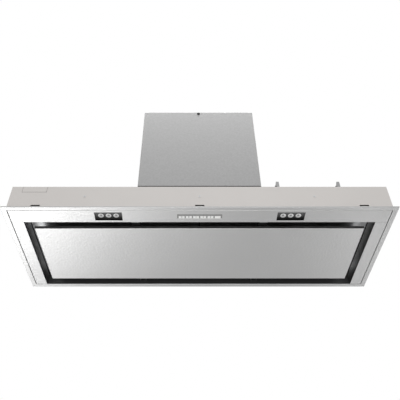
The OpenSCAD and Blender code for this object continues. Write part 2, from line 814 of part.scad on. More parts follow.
// Lamp unit: a black tray with three reflector cups
module lamp_housings() {
    x0 = lamp_offset - lamp_w / 2 + strip_fit;
    x1 = lamp_offset + lamp_w / 2 - strip_fit;
    y0 = lamp_y - lamp_d / 2 + strip_fit;
    y1 = lamp_y + lamp_d / 2 - strip_fit;
    rim = 1.2;
    color(DARK) both_sides() difference() {
        union() {
            block(x0, x1, y0, y1, 0, lamp_top);
            block(x0 - 5, x1 + 5, lamp_y - 6, lamp_y + 6, sheet, sheet + 2);
        }
        block(x0 + rim, x1 - rim, y0 + rim, y1 - rim, -1, lamp_pocket);
        for (k = [-1 : 1]) translate([lamp_offset + k * lens_pitch, lamp_y, lamp_pocket - 1])
            cylinder(r = lens_r + 0.4, h = 5);
        block(x0 + 2, x1 - 2, y0 + 2, y1 - 2, lamp_pocket + 5, lamp_top + 1);
        for (k = [-1 : 1]) translate([lamp_offset + k * lens_pitch, lamp_y, 0])
            cylinder(r = 2.6, h = lamp_top);
    }
}

// Ring-shaped optics round a central dome
module lamp_lenses() {
    color("#e6e6e6") both_sides() for (k = [-1 : 1])
        translate([lamp_offset + k * lens_pitch, lamp_y, lamp_pocket])
        rotate_extrude() polygon([[0, 1.2], [0, 3.6], [lens_r + 0.2, 3.6], [lens_r + 0.2, 0],
                                  [lens_r - 1, 0], [2.4, 2.2], [1.8, 1.2]]);
}

// Boards with the light-emitting chips, one over each lamp unit
module lamp_boards() {
    board_w = lamp_w - 6;
    color("#e8ebe4") both_sides() union() {
        block(lamp_offset - board_w / 2, lamp_offset + board_w / 2,
              lamp_y - lamp_d / 2 + 3, lamp_y + lamp_d / 2 - 3, lamp_pocket + 5, lamp_pocket + 6.6);
        for (k = [-1 : 1]) translate([lamp_offset + k * lens_pitch, lamp_y, lamp_pocket + 4.1])
            cylinder(r = 1.8, h = 1);
    }
}

function key_x(k) = (k - (key_count - 1) / 2) * key_pitch;

// Silver tray behind the fascia's window, with an opening for each key
module key_bezel() {
    x1 = key_strip_w / 2 - strip_fit;
    y0 = strip_y - key_strip_d / 2 + strip_fit;
    y1 = strip_y + key_strip_d / 2 - strip_fit;
    rim = 0.6;
    color("#b8b8b6") difference() {
        union() {
            block(-x1, x1, y0, y1, 0.2, sheet + 2);
            block(-x1 - 3, x1 + 3, y0 - 2, y1 + 2, sheet, sheet + 2);
        }
        block(-x1 + rim, x1 - rim, y0 + rim, y1 - rim, -1, key_floor + 0.4);
        for (k = [0 : key_count - 1])
            block(key_x(k) - key_w / 2 - 0.2, key_x(k) + key_w / 2 + 0.2,
                  key_y - key_d / 2 - 0.2, key_y + key_d / 2 + 0.2, 0, sheet + 3);
    }
}

// Key cap with a retaining skirt and a stem
module key_cap(k) {
    skirt = 0.8;
    z_skirt = sheet + 2 + play;
    color("#e2e2e0") union() {
        soft_block(key_x(k) - key_w / 2, key_x(k) + key_w / 2, key_y - key_d / 2, key_y + key_d / 2,
                   key_floor, z_skirt + 1.5, key_edge_r);
        block(key_x(k) - key_w / 2 - skirt, key_x(k) + key_w / 2 + skirt,
              key_y - key_d / 2 - skirt, key_y + key_d / 2 + skirt, z_skirt, z_skirt + 1.2);
        translate([key_x(k), key_y, z_skirt]) cylinder(r = 1.5, h = key_stem_top - z_skirt);
    }
}

switch_top = 3.2;                            // how far a switch stands below its board
key_stem_top = key_board_z - switch_top - key_travel - 0.1;

module key_lamp() key_cap(0);

module key_off() key_cap(1);

module key_speed_1() key_cap(2);

module key_speed_2() key_cap(3);

module key_speed_3() key_cap(4);

// Fixed window at the strip's right end, over the signal receiver
module signal_window() {
    k = key_count - 1;
    color("#ececec") union() {
        soft_block(key_x(k) - key_w / 2, key_x(k) + key_w / 2, key_y - key_d / 2, key_y + key_d / 2,
                   key_floor, sheet + 3, key_edge_r);
        block(key_x(k) - key_w / 2 - 0.8, key_x(k) + key_w / 2 + 0.8,
              key_y - key_d / 2 - 0.8, key_y + key_d / 2 + 0.8, sheet + 2, sheet + 3.2);
    }
}

// Circuit board with a switch over each key and the receiver over the window
module key_board() {
    x1 = key_strip_w / 2 + 1.5;
    color("#2f6b3f") union() {
        block(-x1, x1, strip_y - key_strip_d / 2 - 0.8, strip_y + key_strip_d / 2 + 0.8,
              key_board_z, key_board_z + 1.6);
        for (k = [0 : key_count - 1]) translate([key_x(k), key_y, key_board_z - switch_top])
            cylinder(r = 1.8, h = switch_top + 0.1);
        for (k = [0 : key_count - 1])
            block(key_x(k) - 3, key_x(k) + 3, key_y - 3, key_y + 3, key_board_z - 2, key_board_z + 0.1);
    }
}

// Open box over the bezel that clips the board in place
module key_housing() {
    x1 = key_strip_w / 2 + 2.8;
    y0 = strip_y - key_strip_d / 2 - 1.8;
    y1 = strip_y + key_strip_d / 2 + 1.8;
    wall = 0.8;
    color(PLASTIC) union() {
        difference() {
            block(-x1, x1, y0, y1, sheet + 2, key_housing_top);
            block(-x1 + wall, x1 - wall, y0 + wall, y1 - wall, 0, key_housing_top - wall);
        }
        for (x = [-40, 0, 40]) translate([x, key_y, key_board_z + 1.6])
            cylinder(r = 2, h = key_housing_top - key_board_z - 1.6 - 0.5);
    }
}

// Motor box: front and sides in one bent sheet, with a flange turned in at its foot
module box_plan(x, y0, y1, r) {
    union() {
        translate([-x, y0 + r]) square([2 * x, y1 - y0 - r]);
        translate([-x + r, y0]) square([2 * (x - r), y1 - y0]);
        for (s = [-1, 1]) translate([s * (x - r), y0 + r]) circle(r = r);
    }
}

module motor_box_shell() {
    top = box_top - sheet;
    color(GALV) difference() {
        translate([0, 0, box_base]) linear_extrude(top - box_base)
            box_plan(box_x, box_front, box_rear, bend_r);
        translate([0, 0, box_base + sheet]) linear_extrude(top - box_base)
            box_plan(box_x - sheet, box_front + sheet, box_rear + 5, bend_r - sheet);
        block(-box_x + box_flange, box_x - box_flange, box_front + box_flange, box_rear + 5,
              box_base - 1, box_base + sheet + 1);
        rod_y(box_front - 1, box_front + sheet + 1, 0, grommet_z, grommet_neck_r + 0.1);
        both_sides() rear_screw_places() rod_x(box_x - sheet - 1, box_x + 1, 0, 0, screw_r + 0.2);
    }
}

// Puts its child at each screw along one side of the rear cover
module rear_screw_places() {
    pitch = (box_top - box_base - 60) / 2;
    for (k = [0 : 2]) translate([0, box_rear - rear_screw_inset, box_base + 30 + k * pitch]) children();
}

// Rear cover with flanges turned forward inside the side walls
module motor_box_rear() {
    x1 = box_x - sheet - 0.1;
    z0 = box_base + sheet + 0.1;
    z1 = box_top - sheet - 0.2;
    flange = 14;
    color(GALV) difference() {
        union() {
            block(-x1, x1, box_rear - sheet, box_rear, z0, z1);
            both_sides() block(x1 - sheet, x1, box_rear - flange, box_rear - sheet / 2, z0, z1);
            block(-x1, x1, box_rear - flange, box_rear - sheet / 2, z0, z0 + sheet);
        }
        both_sides() rear_screw_places() rod_x(x1 - sheet - 1, x1 + 1, 0, 0, screw_r + press);
    }
}

// Top plate with the duct's hole, corner reliefs and a rim turned down inside the walls
module motor_box_top() {
    rim = 10;
    color(GALV) difference() {
        union() {
            translate([0, 0, box_top - sheet]) linear_extrude(sheet)
                box_plan(box_x, box_front, box_rear, bend_r);
            difference() {
                block(-box_x + 2 * sheet + 0.6, box_x - 2 * sheet - 0.6,
                      box_front + sheet + 0.2, box_rear - sheet - 0.2, box_top - rim, box_top - sheet / 2);
                block(-box_x + 3 * sheet + 0.6, box_x - 3 * sheet - 0.6,
                      box_front + 2 * sheet + 0.2, box_rear - 2 * sheet - 0.2, 0, box_top - sheet);
            }
        }
        translate([0, duct_y, box_top - 5]) cylinder(r = duct_in + 0.5, h = 10);
        both_sides() block(box_x - bend_r - 10, box_x - bend_r, box_front - 1, box_front + 0.8,
                           box_top - 5, box_top + 1);
        block(grommet_gap - 3.5, grommet_gap + 3.5, box_front - 1, box_front + sheet,
              box_top - 5, box_top + 1);
        block(-grommet_head_r - 1, grommet_head_r + 1, box_front + sheet, box_front + 3 * sheet,
              box_top - rim - 1, box_top - sheet);
        for (a = [45 : 90 : 315]) collar_screw_hole(a, screw_r + press);
    }
}

grommet_gap = 72;                            // notch in the top plate's front edge, right of the grommet

// Foam seal between the canopy and the motor box
module motor_box_seal() {
    color("#202020") difference() {
        block(-box_x + 0.5, box_x - 0.5, box_front + 0.5, box_rear - 0.5, canopy_h, box_base);
        block(-box_x + seal_w, box_x - seal_w, box_front + seal_w, box_rear - seal_w,
              canopy_h - 1, box_base + 1);
    }
}

grommet_head_r = 4.2;
grommet_neck_r = 3;
grommet_barb = 0.8;
grommet_z = box_top - sheet - grommet_neck_r - grommet_barb - 0.2;

// Round rubber plug near the top of the motor box's front
module cable_grommet() {
    color("#161616") translate([0, box_front, grommet_z]) rotate([90, 0, 0]) rotate_extrude()
        polygon([[0, 1.8], [grommet_head_r - 1.4, 1.8], [grommet_head_r, 0.6], [grommet_head_r, 0],
                 [grommet_neck_r, 0], [grommet_neck_r, -sheet - 0.3],
                 [grommet_neck_r + grommet_barb, -sheet - 0.3],
                 [grommet_neck_r - 0.6, -sheet - 2], [0, -sheet - 2]]);
}

function volute_r(a) = scroll_r0 + (scroll_r1 - scroll_r0) * (a - tongue_a) / (360 - tongue_a);

// Inside outline of the scroll as (Y, Z) about the wheel's axis, grown by a wall
function volute(grow) = concat(
    [for (k = [0 : volute_steps]) let (a = tongue_a + k * (360 - tongue_a) / volute_steps)
        (volute_r(a) + grow) * [cos(a), sin(a)]],
    [[scroll_r1 + grow, scroll_top - wheel_z],
     [scroll_r0 * cos(tongue_a) - grow, scroll_top - wheel_z]]);

// Right half of the blower's scroll
module scroll_half_shell() {
    color(PLASTIC) translate([0, wheel_y, wheel_z]) difference() {
        union() {
            along_x(0, scroll_half + scroll_wall) polygon(volute(scroll_wall));
            for (a = [100, 170, 240, 310]) rotate([a, 0, 0])
                translate([0, volute_r(a) + 2.5, 0]) rotate([0, 90, 0]) cylinder(r = 5, h = 10);
        }
        along_x(-1, scroll_half) polygon(volute(0));
        along_x(0, scroll_half + scroll_wall + 1) circle(r = inlet_r + 3);
        block(-1, scroll_half, scroll_r0 * cos(tongue_a), scroll_r1,
              scroll_top - wheel_z - 1, scroll_top - wheel_z + 1);
    }
}

module scroll_right() scroll_half_shell();

module scroll_left() mirror([1, 0, 0]) scroll_half_shell();

// Duct from the scroll's rectangular mouth to the round hole in the top plate
module outlet_adapter() {
    y0 = wheel_y + scroll_r0 * cos(tongue_a);
    y1 = wheel_y + scroll_r1;
    x1 = scroll_half;
    z1 = box_top - sheet;
    slab = 0.5;
    color(PLASTIC) difference() {
        hull() {
            block(-x1 - scroll_wall, x1 + scroll_wall, y0 - scroll_wall, y1 + scroll_wall,
                  scroll_top, scroll_top + slab);
            translate([0, duct_y, z1 - slab]) cylinder(r = duct_in + scroll_wall, h = slab);
        }
        hull() {
            block(-x1, x1, y0, y1, scroll_top - slab, scroll_top);
            translate([0, duct_y, z1]) cylinder(r = duct_in, h = slab);
        }
    }
}

// Bell mouths in the scroll's two side walls
module inlet_rings() {
    r = inlet_r;
    color(PLASTIC) translate([0, wheel_y, wheel_z]) both_sides()
        translate([scroll_half + scroll_wall, 0, 0]) rotate([0, 90, 0]) rotate_extrude()
            polygon([[r, -scroll_wall - 3], [r, 0], [r + 1.5, 2.5], [r + 4, ring_h], [r + 8, ring_h],
                     [r + 8, 0], [r + 2.7, 0], [r + 1.6, -1], [r + 1.6, -scroll_wall - 3]]);
}

// Curved blade between the wheel's inner and outer radius, as (Y, Z)
function blade_arc(side) = [for (k = [0 : 5]) let (t = k / 5, r = wheel_r - 0.5 - blade_depth * (1 - t))
    r * [cos(24 * (1 - t) * (1 - t) + side * 42 / r), sin(24 * (1 - t) * (1 - t) + side * 42 / r)]];

function reversed(points) = [for (k = [len(points) - 1 : -1 : 0]) points[k]];

// Double-inlet wheel with forward-curved blades and a centre disc
module fan_wheel() {
    color(PLASTIC) translate([0, wheel_y, wheel_z]) difference() {
        union() {
            for (k = [0 : blade_count - 1]) rotate([k * 360 / blade_count, 0, 0])
                along_x(-wheel_half + 1, wheel_half - 1)
                    polygon(concat(blade_arc(-1), reversed(blade_arc(1))));
            both_sides() along_x(wheel_half - 3, wheel_half) difference() {
                circle(r = wheel_r);
                circle(r = wheel_r - 5);
            }
            along_x(hub_x, hub_x + disc_t) circle(r = wheel_r - 1);
            along_x(hub_x - 3, hub_x + 16) circle(r = hub_r);
        }
        along_x(hub_x - 10, hub_x + 30) circle(r = shaft_r + press);
    }
}

module motor_shaft() {
    color("#8f9296") rod_x(can_left - spider_t - 4, hub_x + 22, wheel_y, wheel_z, shaft_r);
}

// Motor with a ribbed can, inside the wheel's left half
module motor_can() {
    color("#6f7276") translate([0, wheel_y, wheel_z]) difference() {
        union() {
            along_x(can_left, hub_x - 6) circle(r = motor_r - 2);
            along_x(can_left + 12, hub_x - 18) circle(r = motor_r);
        }
        along_x(can_left - 1, hub_x) circle(r = shaft_r + run);
        for (k = [0 : 2]) along_x(can_left + 18 + k * 9, can_left + 21 + k * 9) difference() {
            circle(r = motor_r + 1);
            circle(r = motor_r - 1.5);
        }
    }
}

// Three-armed bracket that holds the motor in the left inlet
module motor_spider() {
    arm = 12;
    foot_r = inlet_r + 9;
    color(GALV) translate([0, wheel_y, wheel_z]) difference() {
        union() {
            along_x(can_left - spider_t, can_left) circle(r = 24);
            for (a = [30, 150, 270]) rotate([a, 0, 0]) {
                block(can_left - spider_t, can_left, 10, foot_r + 10, -arm / 2, arm / 2);
                block(can_left - 1, -scroll_half - scroll_wall, foot_r, foot_r + 10, -arm / 2, arm / 2);
            }
        }
        along_x(can_left - spider_t - 1, can_left + 1) circle(r = shaft_r + 2);
    }
}

// Run capacitor on a bracket at the motor box's front wall
module capacitor() {
    x = -box_x + capacitor_inset;
    y = box_front + sheet + capacitor_r + 2;
    z = box_base + capacitor_inset + capacitor_r;
    bracket = capacitor_r / 3;
    color("#d8d8d4") union() {
        translate([x, y, z]) cylinder(r = capacitor_r, h = capacitor_h);
        translate([x, y, z - 4]) cylinder(r = capacitor_r - 5, h = 5);
        block(x - bracket, x + bracket, box_front + sheet, y - capacitor_r + 2,
              z + capacitor_h / 3, z + capacitor_h * 0.6);
    }
}

// Duct collar with its flange, and a ledge that the closed flaps rest over
module duct_collar() {
    color("#2a2a2a") translate([0, duct_y, 0]) difference() {
        union() {
            translate([0, 0, box_top]) cylinder(r = duct_r + collar_flange_w, h = collar_flange_t);
            translate([0, 0, box_top]) cylinder(r = duct_r, h = collar_top - box_top);
        }
        translate([0, 0, box_top - 1]) cylinder(r = ledge_in, h = duct_h + 10);
        translate([0, 0, flap_z - flap_t / 2 - play]) cylinder(r = duct_in, h = duct_h + 10);
        rod_x(-duct_r - 1, duct_r + 1, 0, flap_z, rod_r + press);
        for (a = [45 : 90 : 315]) translate([0, -duct_y, 0]) collar_screw_hole(a, screw_r + 0.2);
    }
}

// Cutter for a screw hole through the collar's flange and the top plate
module collar_screw_hole(a, r) {
    translate([0, duct_y, 0]) rotate([0, 0, a]) translate([duct_r + collar_flange_w / 2, 0, box_top - 5])
        cylinder(r = r, h = 10);
}

module flap_rod() {
    color("#9a9a9a") rod_x(-duct_r + 0.3, duct_r - 0.3, duct_y, flap_z, rod_r);
}

// Half-round flap with two knuckles on the rod; side is -1 in front, 1 behind
module flap(side) {
    reach = duct_in - 6;
    third = reach / 2;
    front_spans = [[-reach, -third - 0.5], [0.5, third - 0.5]];
    rear_spans = [[-third + 0.5, -0.5], [third + 0.5, reach]];
    spans = side < 0 ? front_spans : rear_spans;
    edge = flap_knuckle_r + 0.4;
    color("#4a4a4a") translate([0, duct_y, flap_z]) difference() {
        union() {
            difference() {
                translate([0, 0, -flap_t / 2]) cylinder(r = flap_r, h = flap_t);
                block(-duct_r, duct_r, side < 0 ? -edge : -duct_r, side < 0 ? duct_r : edge, -5, 5);
            }
            for (s = spans) {
                rod_x(s[0], s[1], 0, 0, flap_knuckle_r);
                block(s[0], s[1], side < 0 ? -edge - 1 : 0, side < 0 ? 0 : edge + 1, -flap_t / 2, flap_t / 2);
            }
        }
        rod_x(-duct_r, duct_r, 0, 0, rod_r + run);
    }
}

module flap_front() flap(-1);

module flap_rear() flap(1);

// Puts its child at each of the four screws of the electronics box
module elec_screw_places() {
    for (x = [-1, 1], y = [20, elec_d - 20])
        translate([elec_x + x * (elec_w / 2 + 4), elec_y0 + y, 0]) children();
}

// Electronics housing on the canopy, right of the motor box
module electronics_box() {
    x0 = elec_x - elec_w / 2;
    x1 = elec_x + elec_w / 2;
    y1 = elec_y0 + elec_d;
    z1 = canopy_h + elec_h - 3;
    color(PLASTIC) union() {
        difference() {
            union() {
                block(x0, x1, elec_y0, y1, canopy_h, z1);
                block(x0 - 8, x1 + 8, elec_y0 + 12, elec_y0 + 28, canopy_h, canopy_h + elec_foot_t);
                block(x0 - 8, x1 + 8, y1 - 28, y1 - 12, canopy_h, canopy_h + elec_foot_t);
            }
            block(x0 + elec_wall, x1 - elec_wall, elec_y0 + elec_wall, y1 - elec_wall,
                  canopy_h + elec_wall, z1 + 1);
            rod_y(y1 - elec_wall - 1, y1 + 1, elec_x + 30, gland_z, gland_r + 0.1);
            elec_screw_places() translate([0, 0, canopy_h - 1]) cylinder(r = screw_r + 0.2, h = 6);
        }
        for (x = [x0 + 15, x1 - 15], y = [elec_y0 + 15, y1 - 15])
            translate([x, y, canopy_h + elec_wall - 0.1]) cylinder(r = 3, h = 5.1);
    }
}

module electronics_lid() {
    x0 = elec_x - elec_w / 2;
    x1 = elec_x + elec_w / 2;
    y1 = elec_y0 + elec_d;
    z0 = canopy_h + elec_h - 3;
    color(PLASTIC) union() {
        block(x0, x1, elec_y0, y1, z0, z0 + 2);
        difference() {
            block(x0 + elec_wall + 0.2, x1 - elec_wall - 0.2, elec_y0 + elec_wall + 0.2, y1 - elec_wall - 0.2,
                  z0 - 3, z0 + 1);
            block(x0 + 2 * elec_wall, x1 - 2 * elec_wall, elec_y0 + 2 * elec_wall, y1 - 2 * elec_wall,
                  z0 - 4, z0);
        }
        for (k = [0 : 4]) block(x0 + elec_w / 6, x1 - elec_w / 6, elec_y0 + elec_d * (0.25 + k * 0.12),
                                elec_y0 + elec_d * (0.28 + k * 0.12), z0 + 1, z0 + 3);
    }
}

// Control board with its relays, transformer and terminal block
module electronics_board() {
    x0 = elec_x - elec_w / 2 + elec_wall + 2;
    y0 = elec_y0 + elec_wall + 2;
    z0 = canopy_h + elec_wall + 5;
    w = elec_w - 2 * elec_wall - 4;
    d = elec_d - 2 * elec_wall - 10;
    part_z = z0 + 1.5;
    color("#2f6b3f") union() {
        block(x0, x0 + w, y0, y0 + d, z0, z0 + 1.6);
        block(x0 + w * 0.11, x0 + w * 0.43, y0 + d * 0.13, y0 + d * 0.42, part_z, part_z + elec_h * 0.41);
        for (k = [0 : 2]) block(x0 + w * (0.54 + k * 0.13), x0 + w * (0.64 + k * 0.13),
                                y0 + d * 0.15, y0 + d * 0.32, part_z, part_z + elec_h * 0.34);
        block(x0 + w * 0.55, x0 + w * 0.95, y0 + d * 0.83, y0 + d * 0.94, part_z, part_z + elec_h * 0.37);
        translate([x0 + w * 0.25, y0 + d * 0.75, part_z]) cylinder(r = w * 0.07, h = elec_h * 0.39);
    }
}

// Gland for the mains lead in the electronics box's rear wall
module cable_gland() {
    y1 = elec_y0 + elec_d;
    color("#1c1c1c") translate([elec_x + 30, y1, gland_z]) rotate([-90, 0, 0]) difference() {
        union() {
            translate([0, 0, -elec_wall - 4]) cylinder(r = gland_r, h = elec_wall + 5);
            translate([0, 0, -elec_wall - 3]) cylinder(r = gland_r + 2.5, h = 3, $fn = 6);
            cylinder(r = gland_r + 3, h = 4, $fn = 6);
            translate([0, 0, 4]) cylinder(r1 = gland_r + 2, r2 = gland_r - 0.5, h = 7);
        }
        translate([0, 0, -elec_wall - 5]) cylinder(r = 3.4, h = elec_wall + 20);
    }
}

// Pan-head screw pointing down, its head's underside at the origin
module pan_screw(length) {
    rotate_extrude() polygon([[0, -length], [screw_r - 0.8, -length], [screw_r, -length + 1.2], [screw_r, 0],
                              [screw_head_r, 0], [screw_head_r, screw_head_h * 0.5],
                              [screw_head_r * 0.7, screw_head_h], [0, screw_head_h]]);
}

// Fourteen equal screws: duct collar, electronics box and the rear cover's two sides
module sheet_screws() {
    length = 7;
    color("#9fa1a4") union() {
        for (a = [45 : 90 : 315]) translate([0, duct_y, 0]) rotate([0, 0, a])
            translate([duct_r + collar_flange_w / 2, 0, collar_base]) pan_screw(length);
        elec_screw_places() translate([0, 0, canopy_h + elec_foot_t]) pan_screw(length);
        both_sides() rear_screw_places() translate([box_x, 0, 0]) rotate([0, 90, 0]) pan_screw(length);
    }
}

// Upright hooks that keep the mains lead beside the motor box
module lead_hooks() {
    color(GALV) for (x = hook_offset) union() {
        along_y(hook_y, hook_y + hook_t) union() {
            translate([x - hook_w / 2, canopy_h]) square([hook_w, hook_h - hook_w / 2]);
            translate([x, canopy_h + hook_h - hook_w / 2]) circle(r = hook_w / 2);
        }
        block(x - hook_w / 2, x + hook_w / 2, hook_y, hook_y + 2 * hook_w, canopy_h, canopy_h + hook_t);
        block(x - hook_w, x + hook_w / 2, hook_y, hook_y + 2.5 * hook_t, canopy_h, canopy_h + 3 * hook_t);
    }
}

// Feet of the spring clips, riveted to the canopy's ends
module clip_feet() {
    color("#a6a8aa") both_sides() for (y = [-clip_offset, clip_offset]) union() {
        block(shell_x, shell_x + clip_t, y - clip_w / 2, y + clip_w / 2,
              clip_high + play, clip_high + clip_foot_h);
        for (s = [-1, 1]) rod_x(shell_x + clip_t / 2, shell_x + clip_t + 0.8,
                                y + s * clip_w / 4, clip_high + clip_foot_h * 0.55, rivet_head_r);
    }
}

// Spring leaf that grips the cabinet's board, flared out towards its free end
module clip_leaf(y) {
    tip_h = 5;
    color("#a6a8aa") along_y(y - clip_w / 2, y + clip_w / 2)
        polygon([[shell_x + play, clip_high], [shell_x + play + clip_t, clip_high],
                 [shell_x + clip_reach + clip_t, clip_low + tip_h], [shell_x + clip_reach, clip_low],
                 [shell_x + clip_reach - clip_t, clip_low], [shell_x + clip_reach, clip_low + tip_h]]);
}

module clip_right_front() clip_leaf(-clip_offset);

module clip_right_rear() clip_leaf(clip_offset);

module clip_left_front() mirror([1, 0, 0]) clip_leaf(-clip_offset);

module clip_left_rear() mirror([1, 0, 0]) clip_leaf(clip_offset);

trim_frame();
front_fascia();
side_fascias();
canopy_shell();
cover_plate();
front_rivets();
inner_pan();
filter_frame_left();
filter_frame_right();
filter_meshes();
filter_latch_left();
filter_latch_right();
perimeter_panel();
panel_backer();
panel_hinge_arms();
panel_strikers();
hinge_brackets();
hinge_pins();
catches();
lamp_housings();
lamp_lenses();
lamp_boards();
key_bezel();
key_lamp();
key_off();
key_speed_1();
key_speed_2();
key_speed_3();
signal_window();
key_board();
key_housing();
motor_box_shell();
motor_box_rear();
motor_box_top();
motor_box_seal();
cable_grommet();
scroll_left();
scroll_right();
outlet_adapter();
inlet_rings();
fan_wheel();
motor_shaft();
motor_can();
motor_spider();
capacitor();
duct_collar();
flap_rod();
flap_front();
flap_rear();
electronics_box();
electronics_lid();
electronics_board();
cable_gland();
lead_hooks();
sheet_screws();
clip_feet();
clip_left_front();
clip_left_rear();
clip_right_front();
clip_right_rear();
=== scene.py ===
import json
import math

import bmesh
import bpy
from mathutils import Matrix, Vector


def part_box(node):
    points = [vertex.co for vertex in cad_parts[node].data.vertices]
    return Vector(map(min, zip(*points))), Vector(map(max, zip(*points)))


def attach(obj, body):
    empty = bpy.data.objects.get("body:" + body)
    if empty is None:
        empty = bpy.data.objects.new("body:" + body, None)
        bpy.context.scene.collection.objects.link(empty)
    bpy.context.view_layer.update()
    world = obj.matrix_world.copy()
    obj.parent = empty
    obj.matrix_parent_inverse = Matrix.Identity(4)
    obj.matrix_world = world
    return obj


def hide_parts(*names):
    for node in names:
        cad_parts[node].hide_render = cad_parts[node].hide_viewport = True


# The cooker hood's finishes, small pieces, light and camera. Lengths are in metres.
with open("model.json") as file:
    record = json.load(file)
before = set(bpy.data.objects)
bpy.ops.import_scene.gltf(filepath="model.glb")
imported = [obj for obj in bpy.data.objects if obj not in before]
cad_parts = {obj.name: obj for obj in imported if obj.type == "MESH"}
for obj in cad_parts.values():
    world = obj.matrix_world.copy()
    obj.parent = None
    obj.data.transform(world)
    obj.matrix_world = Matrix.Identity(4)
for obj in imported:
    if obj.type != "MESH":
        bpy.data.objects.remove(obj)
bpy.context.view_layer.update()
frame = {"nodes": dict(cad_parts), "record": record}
SLOT_OF = {part["node"]: part["material_slot"] for part in frame["record"]["subparts"]}


# Node helpers

def new_material(name, colour, roughness, metallic=0.0, **sockets):
    """A Principled material whose plain values sit on the shader's own sockets."""
    material = bpy.data.materials.new(name)
    material.use_nodes = True
    inputs = shader_of(material).inputs
    inputs["Base Color"].default_value = (*colour, 1.0)
    inputs["Roughness"].default_value = roughness
    inputs["Metallic"].default_value = metallic
    for socket, value in sockets.items():
        inputs[socket.replace("_", " ")].default_value = value
    return material


def shader_of(material):
    return material.node_tree.nodes["Principled BSDF"]


def add_node(material, kind, **settings):
    node = material.node_tree.nodes.new(kind)
    for name, value in settings.items():
        setattr(node, name, value)
    return node


def join(material, source, target):
    material.node_tree.links.new(source, target)


def placed(material, stretch):
    """Object coordinates in metres, multiplied by stretch."""
    coordinates = add_node(material, "ShaderNodeTexCoord")
    mapping = add_node(material, "ShaderNodeMapping")
    mapping.inputs["Scale"].default_value = stretch
    join(material, coordinates.outputs["Object"], mapping.inputs["Vector"])
    return mapping.outputs["Vector"]


def noise(material, scale, detail=2.0, stretch=(1.0, 1.0, 1.0)):
    """Noise whose grains are about 1 / scale metres large, before stretching."""
    texture = add_node(material, "ShaderNodeTexNoise")
    texture.inputs["Scale"].default_value = scale
    texture.inputs["Detail"].default_value = detail
    join(material, placed(material, stretch), texture.inputs["Vector"])
    return texture.outputs["Fac"]


def cells(material, scale):
    """A different grey for each crystal-like cell."""
    texture = add_node(material, "ShaderNodeTexVoronoi")
    texture.inputs["Scale"].default_value = scale
    join(material, placed(material, (1.0, 1.0, 1.0)), texture.inputs["Vector"])
    grey = add_node(material, "ShaderNodeSeparateColor")
    join(material, texture.outputs["Color"], grey.inputs["Color"])
    return grey.outputs["Red"]


def spread(material, value, low, high, start=0.3, end=0.7):
    """Maps value from start..end to low..high."""
    node = add_node(material, "ShaderNodeMapRange")
    join(material, value, node.inputs["Value"])
    for name, number in (("From Min", start), ("From Max", end), ("To Min", low), ("To Max", high)):
        node.inputs[name].default_value = number
    return node.outputs["Result"]


def combine(material, operation, a, b):
    """Result of a calculation with two numbers or outputs."""
    node = add_node(material, "ShaderNodeMath", operation=operation)
    for socket, value in zip(node.inputs, (a, b)):
        if isinstance(value, (int, float)):
            socket.default_value = value
        else:
            join(material, value, socket)
    return node.outputs["Value"]


def blend_colour(material, factor, first, second):
    """Base colour between two colours."""
    ramp = add_node(material, "ShaderNodeValToRGB")
    ramp.color_ramp.elements[0].color = (*first, 1.0)
    ramp.color_ramp.elements[1].color = (*second, 1.0)
    join(material, factor, ramp.inputs["Fac"])
    join(material, ramp.outputs["Color"], shader_of(material).inputs["Base Color"])


def vary_roughness(material, factor, low, high):
    join(material, spread(material, factor, low, high), shader_of(material).inputs["Roughness"])


def emboss(material, height, depth):
    """Bump of the given depth in metres."""
    node = add_node(material, "ShaderNodeBump")
    node.inputs["Strength"].default_value = 1.0
    node.inputs["Distance"].default_value = depth
    join(material, height, node.inputs["Height"])
    join(material, node.outputs["Normal"], shader_of(material).inputs["Normal"])


def position(material):
    """X, Y and Z in the object's frame, in metres."""
    axes = add_node(material, "ShaderNodeSeparateXYZ")
    join(material, placed(material, (1.0, 1.0, 1.0)), axes.inputs["Vector"])
    return axes.outputs["X"], axes.outputs["Y"], axes.outputs["Z"]


def shade(colour, factor):
    return tuple(channel * factor for channel in colour)


def mottle(material, factor, colour, amount):
    """Base colour that gets darker and brighter by amount, as a share of itself."""
    blend_colour(material, factor, shade(colour, 1.0 - amount), shade(colour, 1.0 + amount))


def mixed(material, first, second, share):
    """The first value with a share of the second mixed in."""
    return combine(material, "ADD", combine(material, "MULTIPLY", first, 1.0 - share),
                   combine(material, "MULTIPLY", second, share))


# Materials

RIPPLE_HEIGHT = 12.0       # of brushed steel's ripples, in heights of its grain


def brushed_steel(name, colour, roughness):
    """Stainless sheet ground along X: fine streaks, a speckle, small ripples and slow clouds."""
    material = new_material(name, colour, roughness, metallic=1.0)
    streaks = noise(material, scale=1.0, detail=3.0, stretch=(14.0, 1500.0, 1500.0))
    speckle = noise(material, scale=330.0, detail=3.0)
    ripples = noise(material, scale=170.0)
    clouds = noise(material, scale=7.0)
    tone = mixed(material, speckle, clouds, share=0.4)
    mottle(material, spread(material, tone, 0.0, 1.0), colour, 0.035)
    vary_roughness(material, streaks, roughness - 0.04, roughness + 0.05)
    grain = combine(material, "ADD", streaks, speckle)
    ripples = combine(material, "MULTIPLY", ripples, RIPPLE_HEIGHT)
    emboss(material, combine(material, "ADD", grain, ripples), depth=3.0e-5)
    return material


def powder_coat(name, colour, roughness, peel=700.0, depth=2.0e-5):
    """Paint with a fine orange peel and hardly any change of tone."""
    material = new_material(name, colour, roughness)
    clouds = spread(material, noise(material, scale=9.0), 0.0, 1.0)
    mottle(material, clouds, colour, 0.015)
    vary_roughness(material, noise(material, scale=60.0), roughness - 0.03, roughness + 0.04)
    emboss(material, noise(material, scale=peel), depth)
    return material


